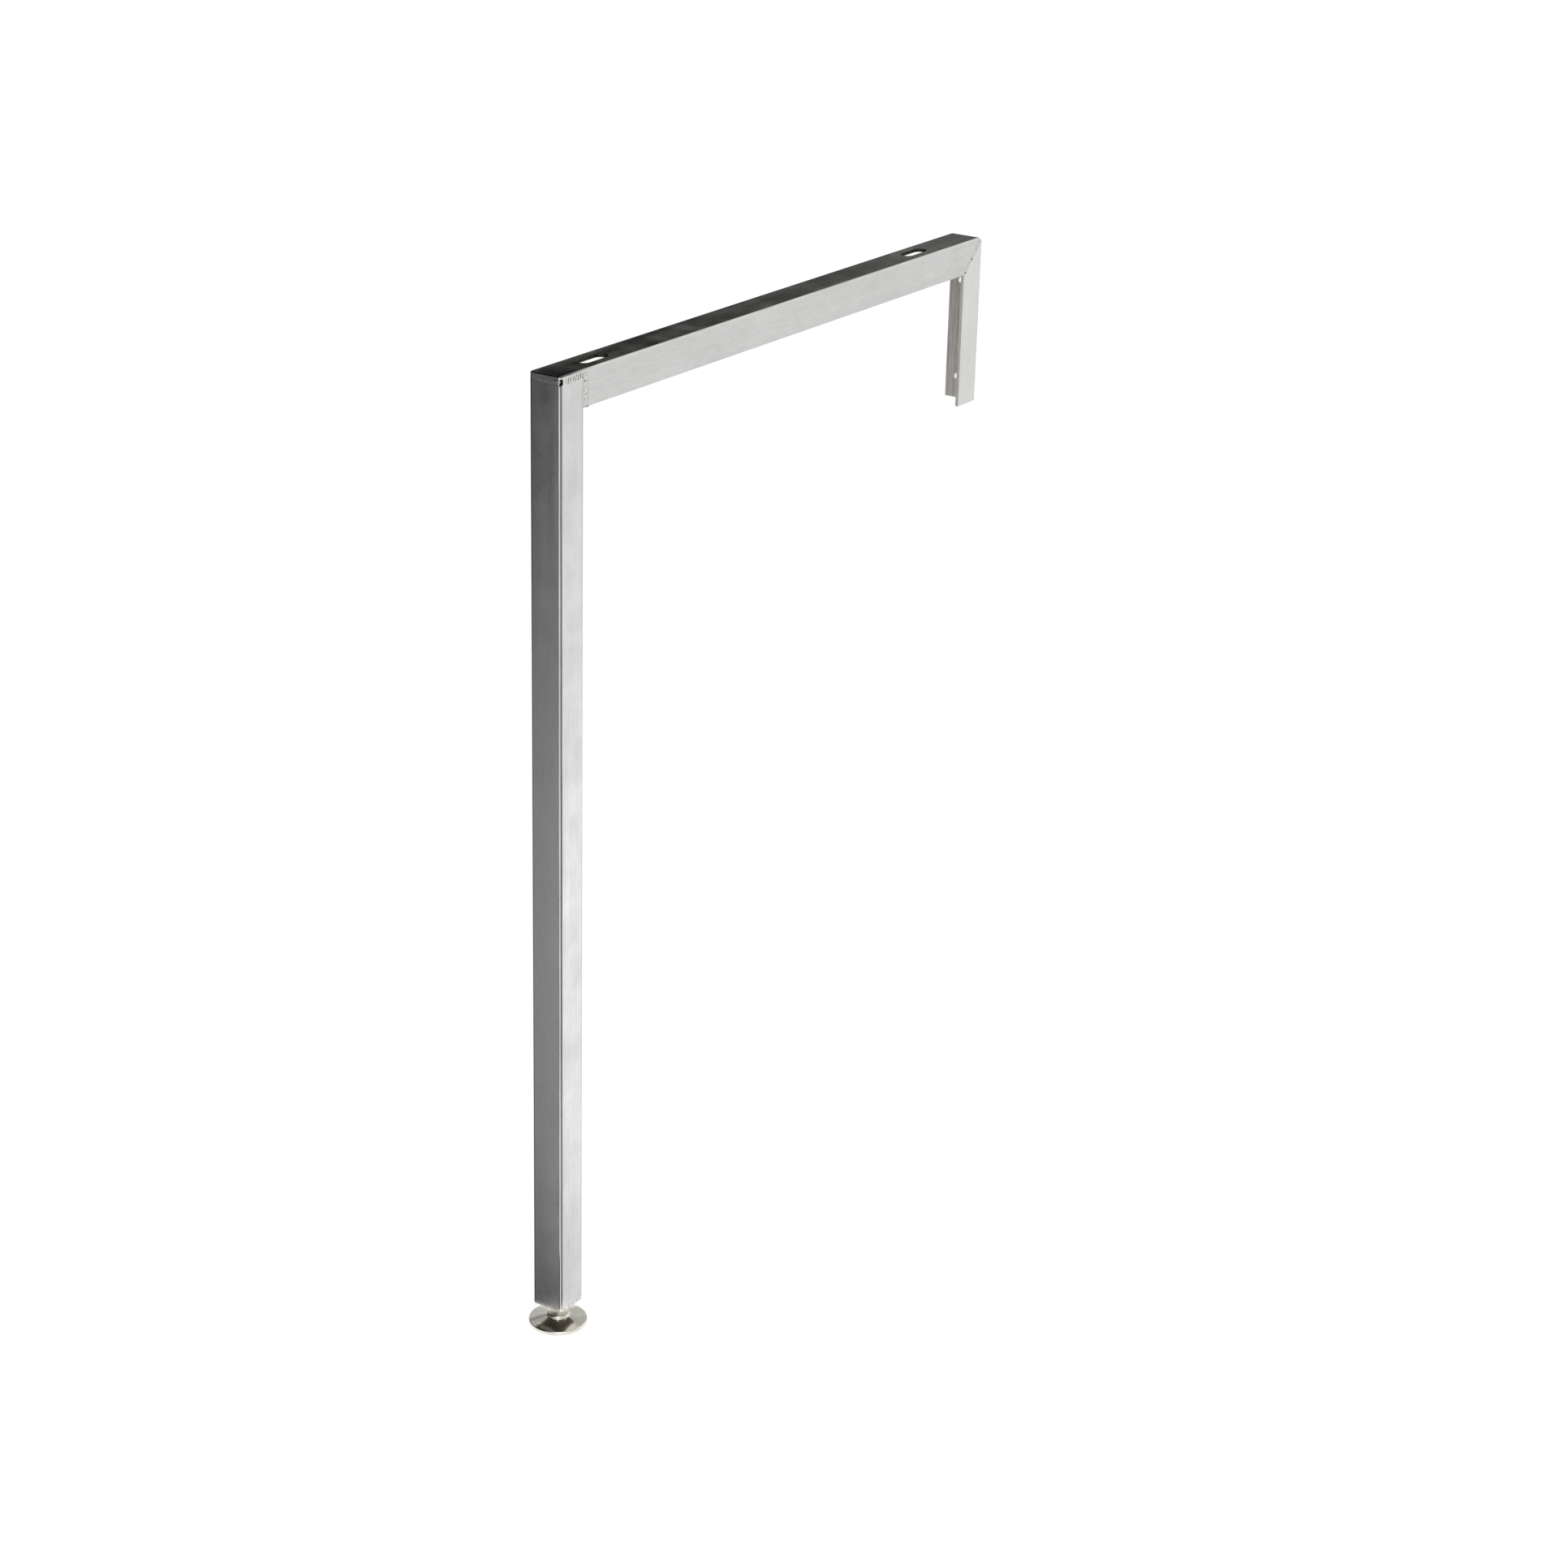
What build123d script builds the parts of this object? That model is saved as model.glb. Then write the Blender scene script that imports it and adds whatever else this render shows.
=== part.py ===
from build123d import *
import math
import os

# A gallows-shaped sink leg: a square tube stands on a screw-adjusted foot, and an angle
# bar runs back from its top to the wall, where it is folded down into a short wall arm.
# Millimetres. The origin is on the floor, on the axis of the leg: X to the right,
# Y back to the wall, Z up.

# Frame
height = 835.0           # floor to the top of the bearer, foot screwed right in
depth = 630.0            # front of the leg to the wall
section = 30.0           # side of the square tube, and both flanges of the angle bar
arm_length = 152.0       # top of the bearer to the lower end of the wall arm
tube_end = 23.0          # floor to the lower end of the tube

# Square tube
tube_wall = 1.5
tube_corner = 2.5        # outer corner radius

# Angle bar
bar_thickness = 3.0
bar_edge = 1.6           # rounding of the bar's outer corner and its ground front end
bar_root = 2.0           # fillet in the bar's inner corner
bend_inner = 2.8         # inside radius where the top flange turns down the wall
mitre_gap = 0.4          # open seam of the mitre behind its weld

# Slots in the top flange, for the screws that hold the sink
slot_width = 12.0
slot_length = 34.0
front_slot = 60.0        # front of the leg to the middle of the front slot
rear_slot = 95.0         # wall to the middle of the rear slot

# Wall screw holes in the arm
wall_hole = 5.5          # diameter
wall_hole_side = 11.5    # free edge of the arm to the hole centres
wall_hole_end = 20.0     # lower end of the arm to the lower hole
wall_hole_pitch = 90.0

# Weld beads
cap_bead_height = 5.6    # bead round the seam between the tube's top and the flange
cap_bead_above = 0.8     # how far it reaches up the flange's edge
cap_bead_proud = 0.5
butt_bead_width = 7.0    # upright bead between the tube and the side flange
butt_bead_proud = 0.7
mitre_bead_width = 4.2
mitre_bead_proud = 0.8
mitre_bead_inset = 1.6   # from the inner and the outer corner to the end ripples
mitre_bead_ripple = 2.2  # largest spacing of the ripples

# Threaded insert in the tube
thread = 10.0            # outer diameter of the spindle's thread
thread_clearance = 0.06  # radial
insert_rim = 3.4         # height of the rim below the tube
insert_bevel = 0.7       # bevel of the rim's lower edge
insert_plug = 22.0       # length of the plug inside the tube
plug_clearance = 0.05    # each side
plug_corner = 1.5        # corner radius of the plug

# Spindle
hexagon = 17.0           # across flats
hexagon_chamfer = 1.0
hexagon_turn = 7.0       # turn of a corner from the X axis
spindle_stud = 38.0      # thread above the hexagon
stud_chamfer = 1.0
shank = 10.0             # diameter of the neck in the plate's bore
shank_clearance = 0.06   # radial
rivet_head = 14.0        # diameter of the swaged end under the plate
rivet_thickness = 1.8
rivet_edge = 0.6         # rounding of the swaged end
running_gap = 0.3        # axial play between the pieces of the foot

# Foot plate
plate_diameter = 50.0
plate_rim = 3.2          # height of the rim
plate_rim_edge = 0.9     # rounding of the rim
plate_crown = 7.0        # height of the cone where it meets the collar
collar_diameter = 20.0
collar_top = 9.5         # floor to the top of the collar
collar_edge = 1.2        # rounding of the collar's top
collar_root = 0.8        # fillet where the cone meets the collar
recess_clearance = 0.5   # radial, round the swaged end
recess_floor = 0.6       # floor to the underside of the swaged end
screw_hole = 4.2
screw_circle = 38.0
screw_angle = 71.0       # turn of the two screw holes from the X axis

# Places that follow from the sizes
half = section / 2
front = -half
wall = depth - half
bar_bottom = height - section
bar_underside = height - bar_thickness
arm_front = wall - section
arm_end = height - arm_length
bend_outer = bend_inner + bar_thickness
bend_y = wall - bend_outer
bend_z = height - bend_outer
hexagon_top = tube_end - insert_rim - running_gap
hexagon_bottom = collar_top + running_gap
rivet_top = recess_floor + rivet_thickness


def rounded_square(side, corner, bottom, top):
    """An upright square bar on the leg's axis, with rounded corners."""
    outline = RectangleRounded(side, side, corner)
    return extrude(Plane.XY.offset(bottom) * outline, top - bottom)


def plate_in_yz(face, x_from, x_to):
    """A face drawn in the YZ plane, given its thickness along X."""
    return extrude(Plane.YZ.offset(x_from) * face, x_to - x_from)


def leg_tube():
    """The square tube, open at both ends."""
    outer = rounded_square(section, tube_corner, tube_end, bar_underside)
    inner_side = section - 2 * tube_wall
    inner = rounded_square(inner_side, tube_corner - tube_wall, tube_end, bar_underside)
    return outer - inner


def folded_flange():
    """The flange that lies on the leg, runs back and turns down the wall."""
    with BuildSketch() as sketch:
        with BuildLine():
            Line((front, height), (bend_y, height))
            RadiusArc((bend_y, height), (wall, bend_z), bend_outer)
            Line((wall, bend_z), (wall, arm_end))
            Line((wall, arm_end), (wall - bar_thickness, arm_end))
            Line((wall - bar_thickness, arm_end), (wall - bar_thickness, bend_z))
            RadiusArc((wall - bar_thickness, bend_z), (bend_y, bar_underside), -bend_inner)
            Line((bend_y, bar_underside), (front, bar_underside))
            Line((front, bar_underside), (front, height))
        make_face()
    return plate_in_yz(sketch.sketch, -half, half)


def side_flange():
    """The flange on the right of the bar and of the arm, starting behind the leg."""
    with BuildSketch() as sketch:
        with BuildLine():
            Line((half, height), (bend_y, height))
            RadiusArc((bend_y, height), (wall, bend_z), bend_outer)
            Line((wall, bend_z), (wall, arm_end))
            Line((wall, arm_end), (arm_front, arm_end))
            Line((arm_front, arm_end), (arm_front, bar_bottom))
            Line((arm_front, bar_bottom), (half, bar_bottom))
            Line((half, bar_bottom), (half, height))
        make_face()
    return plate_in_yz(sketch.sketch, half - bar_thickness, half)


def mitre_cut():
    """The narrow seam of the mitre, from the inner corner to the middle of the bend."""
    reach = bend_y - arm_front
    run = math.hypot(reach, reach) + mitre_gap
    seam = Box(2 * bar_thickness, run, mitre_gap, align=(Align.CENTER, Align.MAX, Align.CENTER))
    return Location((half - bar_thickness / 2, bend_y, bend_z), (45, 0, 0)) * seam


def slots():
    """The two oblong slots in the top flange."""
    cutters = []
    for y in (front + front_slot, wall - rear_slot):
        outline = SlotOverall(slot_length, slot_width, rotation=90)
        cutters.append(extrude(Plane.XY.offset(bar_underside) * Pos(0, y) * outline, bar_thickness))
    return cutters


def wall_holes():
    """The two screw holes in the wall arm."""
    cutters = []
    for step in range(2):
        z = arm_end + wall_hole_end + step * wall_hole_pitch
        centre = Location((wall_hole_side - half, wall - bar_thickness / 2, z), (90, 0, 0))
        cutters.append(centre * Cylinder(wall_hole / 2, 2 * bar_thickness))
    return cutters


def is_at(value, place, within=0.01):
    """True where a measure lies at a place."""
    return abs(value - place) < within


def bearer():
    """The folded angle bar: bearer and wall arm in one piece."""
    bar = folded_flange() + side_flange()
    inside = half - bar_thickness
    roots = [
        e for e in bar.edges()
        if is_at(e.center().X, inside) and (
            is_at(e.center().Z, bar_underside)
            or is_at(e.center().Y, wall - bar_thickness)
            or is_at(e.length, math.pi / 2 * bend_inner)
        )
    ]
    bar = fillet(roots, bar_root)
    front_corners = [
        e for e in bar.edges()
        if is_at(e.center().Y, front) and is_at(abs(e.center().X), half)
    ]
    bar = fillet(front_corners, tube_corner)
    ground = [
        e for e in bar.edges()
        if (is_at(e.center().Z, height) and e.center().Y < front + tube_corner)
        or (is_at(e.center().X, half) and is_at(e.center().Z, height))
        or (is_at(e.center().X, half) and is_at(e.center().Y, wall))
        or (is_at(e.center().X, half) and is_at(e.length, math.pi / 2 * bend_outer))
    ]
    bar = fillet(ground, bar_edge)
    bar = bar - mitre_cut()
    for cutter in slots() + wall_holes():
        bar = bar - cutter
    return bar


def cap_bead():
    """The ground weld bead round the front and right of the seam under the flange."""
    top = bar_underside + cap_bead_above
    bottom = top - cap_bead_height
    proud = rounded_square(section + 2 * cap_bead_proud, tube_corner + cap_bead_proud, bottom, top)
    band = proud - rounded_square(section, tube_corner, bottom, top)
    flat = section - tube_corner
    corner = (front + tube_corner, front - section, bottom)
    reach = Box(2 * section, section + flat, cap_bead_height, align=(Align.MIN,) * 3)
    return band & (Pos(*corner) * reach)


def butt_bead():
    """The upright bead that fills the tube's rounded corner beside the side flange."""
    start = half - tube_corner
    end = start + butt_bead_width
    with BuildSketch() as sketch:
        with BuildLine():
            ThreePointArc(
                (half, start), (half + butt_bead_proud, (start + end) / 2), (half, end)
            )
            Line((half, end), (half, start))
        make_face()
    crown_top = bar_underside + cap_bead_above
    crown = extrude(Plane.XY.offset(bar_bottom) * sketch.sketch, crown_top - bar_bottom)
    length = bar_underside - bar_bottom
    groove = Box(tube_corner, tube_corner, length, align=(Align.MAX, Align.MAX, Align.MIN))
    filling = Pos(half, half, bar_bottom) * groove
    tube = rounded_square(section, tube_corner, bar_bottom, bar_underside)
    return crown + (filling - tube)


def mitre_bead():
    """The rippled bead along the mitre, a row of overlapping round caps."""
    ball = (mitre_bead_width ** 2 / 4 + mitre_bead_proud ** 2) / (2 * mitre_bead_proud)
    bend_corner = bend_outer * (1 - math.sqrt(0.5))
    start = (arm_front + mitre_bead_inset, bar_bottom + mitre_bead_inset)
    end_inset = bend_corner + mitre_bead_inset
    run = math.hypot(wall - end_inset - start[0], height - end_inset - start[1])
    count = int(run / mitre_bead_ripple) + 1
    bead = None
    for step in range(count):
        y = start[0] + (wall - end_inset - start[0]) * step / (count - 1)
        z = start[1] + (height - end_inset - start[1]) * step / (count - 1)
        cap = Pos(half + mitre_bead_proud - ball, y, z) * Sphere(ball)
        bead = cap if bead is None else bead + cap
    outside = Box(section, depth, height, align=(Align.MIN, Align.MIN, Align.MIN))
    return bead & (Pos(half, 0, 0) * outside)


def foot_insert():
    """The threaded insert: a bevelled rim under the tube and a plug inside it."""
    rim = rounded_square(section, tube_corner, tube_end - insert_rim, tube_end)
    lower = [e for e in rim.edges() if is_at(e.center().Z, tube_end - insert_rim)]
    rim = chamfer(lower, insert_bevel)
    plug_side = section - 2 * tube_wall - 2 * plug_clearance
    plug = rounded_square(plug_side, plug_corner, tube_end, tube_end + insert_plug)
    bore = Cylinder(
        thread / 2 + thread_clearance, insert_rim + insert_plug,
        align=(Align.CENTER, Align.CENTER, Align.MIN),
    )
    return rim + plug - Pos(0, 0, tube_end - insert_rim) * bore


def turned(radius, bottom, top):
    """A round bar on the leg's axis."""
    return extrude(Plane.XY.offset(bottom) * Circle(radius), top - bottom)


def foot_spindle():
    """The spindle: swaged end, neck, hexagon and thread in one piece."""
    outline = RegularPolygon(hexagon / 2, 6, major_radius=False, rotation=hexagon_turn)
    prism = extrude(Plane.XY.offset(hexagon_bottom) * outline, hexagon_top - hexagon_bottom)
    blank = turned(hexagon / math.sqrt(3), hexagon_bottom, hexagon_top)
    nut = prism & chamfer(blank.edges().filter_by(GeomType.CIRCLE), hexagon_chamfer)
    stud = turned(thread / 2, hexagon_top, hexagon_top + spindle_stud)
    stud = chamfer(stud.edges().group_by(Axis.Z)[-1], stud_chamfer)
    neck = turned(shank / 2, rivet_top, hexagon_bottom)
    swaged = turned(rivet_head / 2, recess_floor, rivet_top)
    swaged = fillet(swaged.edges().group_by(Axis.Z)[0], rivet_edge)
    return nut + stud + neck + swaged


def foot_plate():
    """The round plate: rim, shallow cone and collar, with two screw holes."""
    bore = shank / 2 + shank_clearance
    recess = rivet_head / 2 + recess_clearance
    recess_top = rivet_top + running_gap
    rim = plate_diameter / 2
    collar = collar_diameter / 2
    with BuildSketch(Plane.XZ) as sketch:
        with BuildLine():
            Polyline(
                (recess, 0), (rim, 0), (rim, plate_rim), (collar, plate_crown),
                (collar, collar_top), (bore, collar_top), (bore, recess_top),
                (recess, recess_top), (recess, 0),
            )
        make_face()
    plate = revolve(sketch.sketch, Axis.Z)
    rims = [e for e in plate.edges() if is_at(e.length, 2 * math.pi * rim)]
    plate = fillet(rims, plate_rim_edge)
    circles = [e for e in plate.edges() if is_at(e.length, 2 * math.pi * collar)]
    plate = fillet([e for e in circles if is_at(e.center().Z, plate_crown)], collar_root)
    circles = [e for e in plate.edges() if is_at(e.length, 2 * math.pi * collar)]
    plate = fillet([e for e in circles if is_at(e.center().Z, collar_top)], collar_edge)
    for turn in (screw_angle, screw_angle + 180):
        place = Rot(0, 0, turn) * Pos(screw_circle / 2, 0, 0)
        plate = plate - place * Cylinder(screw_hole / 2, 2 * plate_crown)
    return plate


def main():
    """Writes each piece to its own file."""
    pieces = {
        "leg_tube": leg_tube(),
        "bearer": bearer(),
        "cap_bead": cap_bead(),
        "butt_bead": butt_bead(),
        "mitre_bead": mitre_bead(),
        "foot_insert": foot_insert(),
        "foot_spindle": foot_spindle(),
        "foot_plate": foot_plate(),
    }
    os.makedirs("parts", exist_ok=True)
    for name, piece in pieces.items():
        export_step(piece, f"parts/{name}.step")


main()
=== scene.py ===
# %% [markdown]
# # A sink leg, dressed in Blender
#
# The real one is workshop steelwork: a square stainless tube on a screw-adjusted foot, with
# an angle bar welded across its top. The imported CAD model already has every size, so this
# lesson keeps its shapes and adds what a drawing leaves out: eased edges, weld metal, a
# screw thread, and the finish of each metal. Everything is in metres, with the origin on the
# floor under the leg, X to the side flange, Y to the wall and Z up.

import math

import bmesh
import bpy
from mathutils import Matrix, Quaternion, Vector, noise


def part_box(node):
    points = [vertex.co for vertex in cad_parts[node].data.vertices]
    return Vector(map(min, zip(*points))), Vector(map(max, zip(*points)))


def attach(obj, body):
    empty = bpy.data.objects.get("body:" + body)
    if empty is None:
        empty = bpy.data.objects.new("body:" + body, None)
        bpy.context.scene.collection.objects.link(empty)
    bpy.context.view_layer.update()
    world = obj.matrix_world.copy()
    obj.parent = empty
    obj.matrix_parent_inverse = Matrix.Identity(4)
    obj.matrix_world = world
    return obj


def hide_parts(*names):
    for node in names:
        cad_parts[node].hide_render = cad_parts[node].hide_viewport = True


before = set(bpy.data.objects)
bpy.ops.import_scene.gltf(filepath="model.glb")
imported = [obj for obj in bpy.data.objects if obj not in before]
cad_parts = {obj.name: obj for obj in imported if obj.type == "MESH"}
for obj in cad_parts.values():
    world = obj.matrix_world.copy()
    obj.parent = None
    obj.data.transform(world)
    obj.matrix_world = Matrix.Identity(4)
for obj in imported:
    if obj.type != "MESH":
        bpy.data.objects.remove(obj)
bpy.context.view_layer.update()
print("CAD nodes:", ", ".join(sorted(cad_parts)))

# %% [markdown]
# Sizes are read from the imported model, so that the dressed pieces follow it. Lengths that
# only this lesson needs are written in millimetres.

# %% Sizes of the leg
MM = 0.001
tube_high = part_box("leg_tube")[1]
bar_low, bar_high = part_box("bearer")
rim_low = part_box("foot_insert")[0]
stud_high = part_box("foot_spindle")[1]
HALF = tube_high.x
SECTION = 2 * HALF
SEAM = tube_high.z
TOP = bar_high.z
WALL = bar_high.y
BAR_BOTTOM = TOP - SECTION
ARM_FRONT = WALL - SECTION
TUBE_CORNER = 2.5 * MM
print(f"leg {TOP:.3f} m high, bearer {WALL - bar_low.y:.3f} m deep, section {SECTION:.3f} m")

# %% [markdown]
# ## The camera
#
# The photograph looks down on the leg from the front right with a long lens. Its angles and
# distance were solved from the straight edges of the steel, and the sensor stays at
# Blender's 36 mm.

# %% Camera
CAMERA_AZIMUTH = 32.97
CAMERA_ELEVATION = 21.98
CAMERA_ROLL = 1.54
CAMERA_DISTANCE = 2.89326
CAMERA_TARGET = Vector((0, 0.33279, 0.388))
LENS = 74.53
SENSOR_WIDTH = 36

around = math.radians(CAMERA_AZIMUTH)
above = math.radians(CAMERA_ELEVATION)
towards_camera = Vector(
    (math.sin(around) * math.cos(above), -math.cos(around) * math.cos(above), math.sin(above))
)
camera = bpy.data.objects.new("camera", bpy.data.cameras.new("camera"))
bpy.context.scene.collection.objects.link(camera)
bpy.context.scene.camera = camera
camera.data.lens = LENS
camera.data.sensor_width = SENSOR_WIDTH
camera.location = CAMERA_TARGET + CAMERA_DISTANCE * towards_camera
camera.rotation_mode = "QUATERNION"
roll = Quaternion((0, 0, 1), math.radians(CAMERA_ROLL))
camera.rotation_quaternion = (-towards_camera).to_track_quat("-Z", "Y") @ roll
print("camera at", [round(v, 3) for v in camera.location])

# %% [markdown]
# ## Two helpers for materials
#
# Colours are picked as sRGB hex values, as in any paint program, and Blender wants them
# linear. Nodes are added by one small function: a socket is linked, a value is set.

# %% Colour and node helpers
def linear(hex_colour):
    """Linear RGBA of an sRGB colour such as C8C9C6."""
    channels = [int(hex_colour[i:i + 2], 16) / 255 for i in (0, 2, 4)]
    return [c / 12.92 if c <= 0.04045 else ((c + 0.055) / 1.055) ** 2.4 for c in channels] + [1]


def add_node(tree, kind, inputs=None, **settings):
    """A new node with its settings, and its inputs linked to sockets or set to values."""
    node = tree.nodes.new(kind)
    for name, value in settings.items():
        setattr(node, name, value)
    for name, value in (inputs or {}).items():
        if isinstance(value, bpy.types.NodeSocket):
            tree.links.new(value, node.inputs[name])
        else:
            node.inputs[name].default_value = value
    return node


def new_material(name):
    """An empty material, and its node tree."""
    material = bpy.data.materials.new(name)
    material.use_nodes = True
    material.node_tree.nodes.clear()
    return material, material.node_tree


print("mid grey 808080 is", round(linear("808080")[0], 3), "in linear light")

# %% [markdown]
# ## Floor and light
#
# The photograph has a plain white surround. The floor is pale paper: most of what the camera
# and the metal see of it is a plain white of strength 1, and the rest is a diffuse part that
# still takes the leg's soft shadow.

# %% Floor
FLOOR_SIZE = 60
PAPER_GLOW = 0.8


def seen_directly(tree):
    """1 for rays from the camera, from a reflection or through glass."""
    path = add_node(tree, "ShaderNodeLightPath")
    total = add_node(tree, "ShaderNodeMath",
                     {0: path.outputs["Is Camera Ray"], 1: path.outputs["Is Glossy Ray"]})
    return add_node(tree, "ShaderNodeMath",
                    {0: total.outputs[0], 1: path.outputs["Is Transmission Ray"]},
                    use_clamp=True).outputs[0]


def white_paper():
    """Matt white background paper, which keeps a soft shadow."""
    material, tree = new_material("matt_white_paper")
    share = add_node(tree, "ShaderNodeMath", {0: seen_directly(tree), 1: PAPER_GLOW},
                     operation="MULTIPLY")
    matt = add_node(tree, "ShaderNodeBsdfDiffuse", {"Color": linear("FEFEFD")})
    glow = add_node(tree, "ShaderNodeEmission", {"Color": linear("FFFFFF"), "Strength": 1.0})
    mixed = add_node(tree, "ShaderNodeMixShader",
                     {0: share.outputs[0], 1: matt.outputs[0], 2: glow.outputs[0]})
    add_node(tree, "ShaderNodeOutputMaterial", {"Surface": mixed.outputs[0]})
    return material


def stage_piece(shape, name, material):
    """A mesh of the studio, which isn't part of the object."""
    mesh = bpy.data.meshes.new(name)
    shape.to_mesh(mesh)
    shape.free()
    mesh.materials.append(material)
    piece = bpy.data.objects.new(name, mesh)
    bpy.context.scene.collection.objects.link(piece)
    return piece


shape = bmesh.new()
bmesh.ops.create_grid(shape, x_segments=1, y_segments=1, size=FLOOR_SIZE / 2)
floor = stage_piece(shape, "floor", white_paper())
print("floor", floor.dimensions[:2])

# %% [markdown]
# The world is the same white as the paper, so no horizon shows. One large softbox, high on
# the right and in front, gives the leg its soft shadow on the paper.

# %% World and lamp
SOFTBOX_SIZE = 3.2
SOFTBOX_POWER = 75
SOFTBOX_PLACE = Vector((2.3, -1.3, 2.9))

world = bpy.data.worlds.new("white_studio")
bpy.context.scene.world = world
world.use_nodes = True
tree = world.node_tree
tree.nodes.clear()
white = add_node(tree, "ShaderNodeBackground", {"Color": linear("FFFFFF"), "Strength": 1.0})
add_node(tree, "ShaderNodeOutputWorld", {"Surface": white.outputs[0]})

softbox = bpy.data.objects.new("softbox", bpy.data.lights.new("softbox", "AREA"))
bpy.context.scene.collection.objects.link(softbox)
softbox.data.size = SOFTBOX_SIZE
softbox.data.energy = SOFTBOX_POWER
softbox.location = SOFTBOX_PLACE
softbox.rotation_mode = "QUATERNION"
softbox.rotation_quaternion = (CAMERA_TARGET - SOFTBOX_PLACE).to_track_quat("-Z", "Y")
print("softbox", SOFTBOX_POWER, "W at", [round(v, 1) for v in SOFTBOX_PLACE])

# %% [markdown]
# Bare metal shows what stands around it, so a photographer lights it with cards. Here dark
# cards on the left, overhead and at the front right keep those faces dark that are dark in
# the photograph, such as the front face and the top of the bearer. Paler ones on the right
# and behind keep the side bright without washing it out. The cards are only seen by
# reflections: they cast no shadow and never stand in the picture.

# %% Cards
CARD_LIFT = 1.5 * MM
CARD_STEPS = 24


def card_cloth(name, near, far):
    """Studio card whose glow goes evenly from one distance and strength to another."""
    material, tree = new_material(name)
    place = add_node(tree, "ShaderNodeTexCoord").outputs["Object"]
    distance = add_node(tree, "ShaderNodeVectorMath", {0: place}, operation="LENGTH").outputs["Value"]
    strength = add_node(tree, "ShaderNodeMapRange",
                        {"Value": distance, "From Min": near[0], "From Max": far[0],
                         "To Min": near[1], "To Max": far[1]}).outputs[0]
    glow = add_node(tree, "ShaderNodeEmission", {"Color": linear("F4F5F4"), "Strength": strength})
    add_node(tree, "ShaderNodeOutputMaterial", {"Surface": glow.outputs[0]})
    return material


def for_reflections_only(card):
    """Leaves a card out of everything but reflections."""
    card.visible_camera = False
    card.visible_diffuse = False
    card.visible_shadow = False


def floor_card(name, start, end, inner, outer, near, far):
    """A sector of card on the floor round the leg, from one bearing to another."""
    shape = bmesh.new()
    first = math.radians(start)
    ends = [shape.verts.new((r * math.cos(first), r * math.sin(first), CARD_LIFT))
            for r in (inner, outer)]
    edge = shape.edges.new(ends)
    bmesh.ops.spin(shape, geom=ends + [edge], cent=(0, 0, 0), axis=(0, 0, 1), dvec=(0, 0, 0),
                   angle=math.radians(end - start), steps=CARD_STEPS, use_merge=False,
                   use_duplicate=False)
    for_reflections_only(stage_piece(shape, name, card_cloth(name, near, far)))


def standing_card(name, left, right, low, high, near, far):
    """An upright card from one floor point to another."""
    shape = bmesh.new()
    ends = [shape.verts.new((x, y, low)) for x, y in (left, right)]
    raised = bmesh.ops.extrude_edge_only(shape, edges=[shape.edges.new(ends)])
    top = [v for v in raised["geom"] if isinstance(v, bmesh.types.BMVert)]
    bmesh.ops.translate(shape, verts=top, vec=(0, 0, high - low))
    for_reflections_only(stage_piece(shape, name, card_cloth(name, near, far)))


def ceiling_card(name, low_corner, high_corner, height, near, far):
    """A level card overhead."""
    shape = bmesh.new()
    ends = [shape.verts.new((low_corner[0], y, height)) for y in (low_corner[1], high_corner[1])]
    moved = bmesh.ops.extrude_edge_only(shape, edges=[shape.edges.new(ends)])
    side = [v for v in moved["geom"] if isinstance(v, bmesh.types.BMVert)]
    bmesh.ops.translate(shape, verts=side, vec=(high_corner[0] - low_corner[0], 0, 0))
    for_reflections_only(stage_piece(shape, name, card_cloth(name, near, far)))


# Bearings are in degrees from X towards Y and lengths in metres. The last two pairs of each
# card are a distance from the origin and the strength of its glow there.
floor_card("card_floor_near", 163, 256, 0.042, 0.6, (0.05, 0.12), (0.45, 0.24))
floor_card("card_floor_foot", 256, 286, 0.042, 0.14, (0.03, 0.12), (0.14, 0.22))
floor_card("card_floor_far", 163, 256, 0.6, 6.0, (1.0, 0.25), (2.8, 0.05))
floor_card("card_floor_right", 319, 352, 0.06, 4.0, (0.1, 0.05), (3.0, 0.05))
floor_card("card_floor_side", -8, 28, 0.06, 5.0, (0.1, 0.82), (3.0, 0.6))
floor_card("card_floor_behind", 28, 80, 0.03, 0.9, (0.05, 0.87), (0.45, 1.1))
floor_card("card_floor_back", 28, 80, 0.9, 6.0, (1.1, 1.1), (2.6, 0.84))
standing_card("card_side", (5.0, -3.2), (5.0, 2.6), 0.0, 3.0, (2.0, 0.6), (6.0, 0.6))
standing_card("card_front_left", (-2.2, -3.4), (-0.5, -4.4), 0.0, 2.6, (2.0, 0.03), (4.0, 0.03))
standing_card("card_left", (-2.2, -3.4), (-2.2, 0.2), 0.0, 2.6, (2.0, 0.03), (4.0, 0.03))
standing_card("card_back_low", (-2.2, 0.2), (0.5, 1.9), 0.2, 0.855, (1.0, 0.6), (2.0, 0.6))
standing_card("card_back_left", (-4.4, -0.2), (-0.9, 4.9), 0.86, 2.3, (4.13, 0.0), (4.5, 0.2))
standing_card("card_back_high", (-4.4, -0.2), (-0.9, 4.9), 2.3, 5.5, (3.0, 0.5), (6.0, 0.5))
ceiling_card("card_overhead", (-2.2, -3.4), (0.25, 1.7), 2.6, (2.0, 0.02), (4.0, 0.02))
ceiling_card("card_overhead_right", (0.5, -0.9), (2.6, 0.7), 2.5, (2.0, 0.05), (4.0, 0.05))

# %% [markdown]
# ## The metals
#
# Stainless steel for kitchens is ground with a belt along its length. The belt leaves long
# fine scratches, so a highlight is drawn out across them: that is anisotropy, and its
# direction is square to the scratches and to the face. Handling and rolling leave softer
# marks on top, in clouds a few centimetres across. One function makes the finish, and is
# told which way each stretch was ground.

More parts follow.
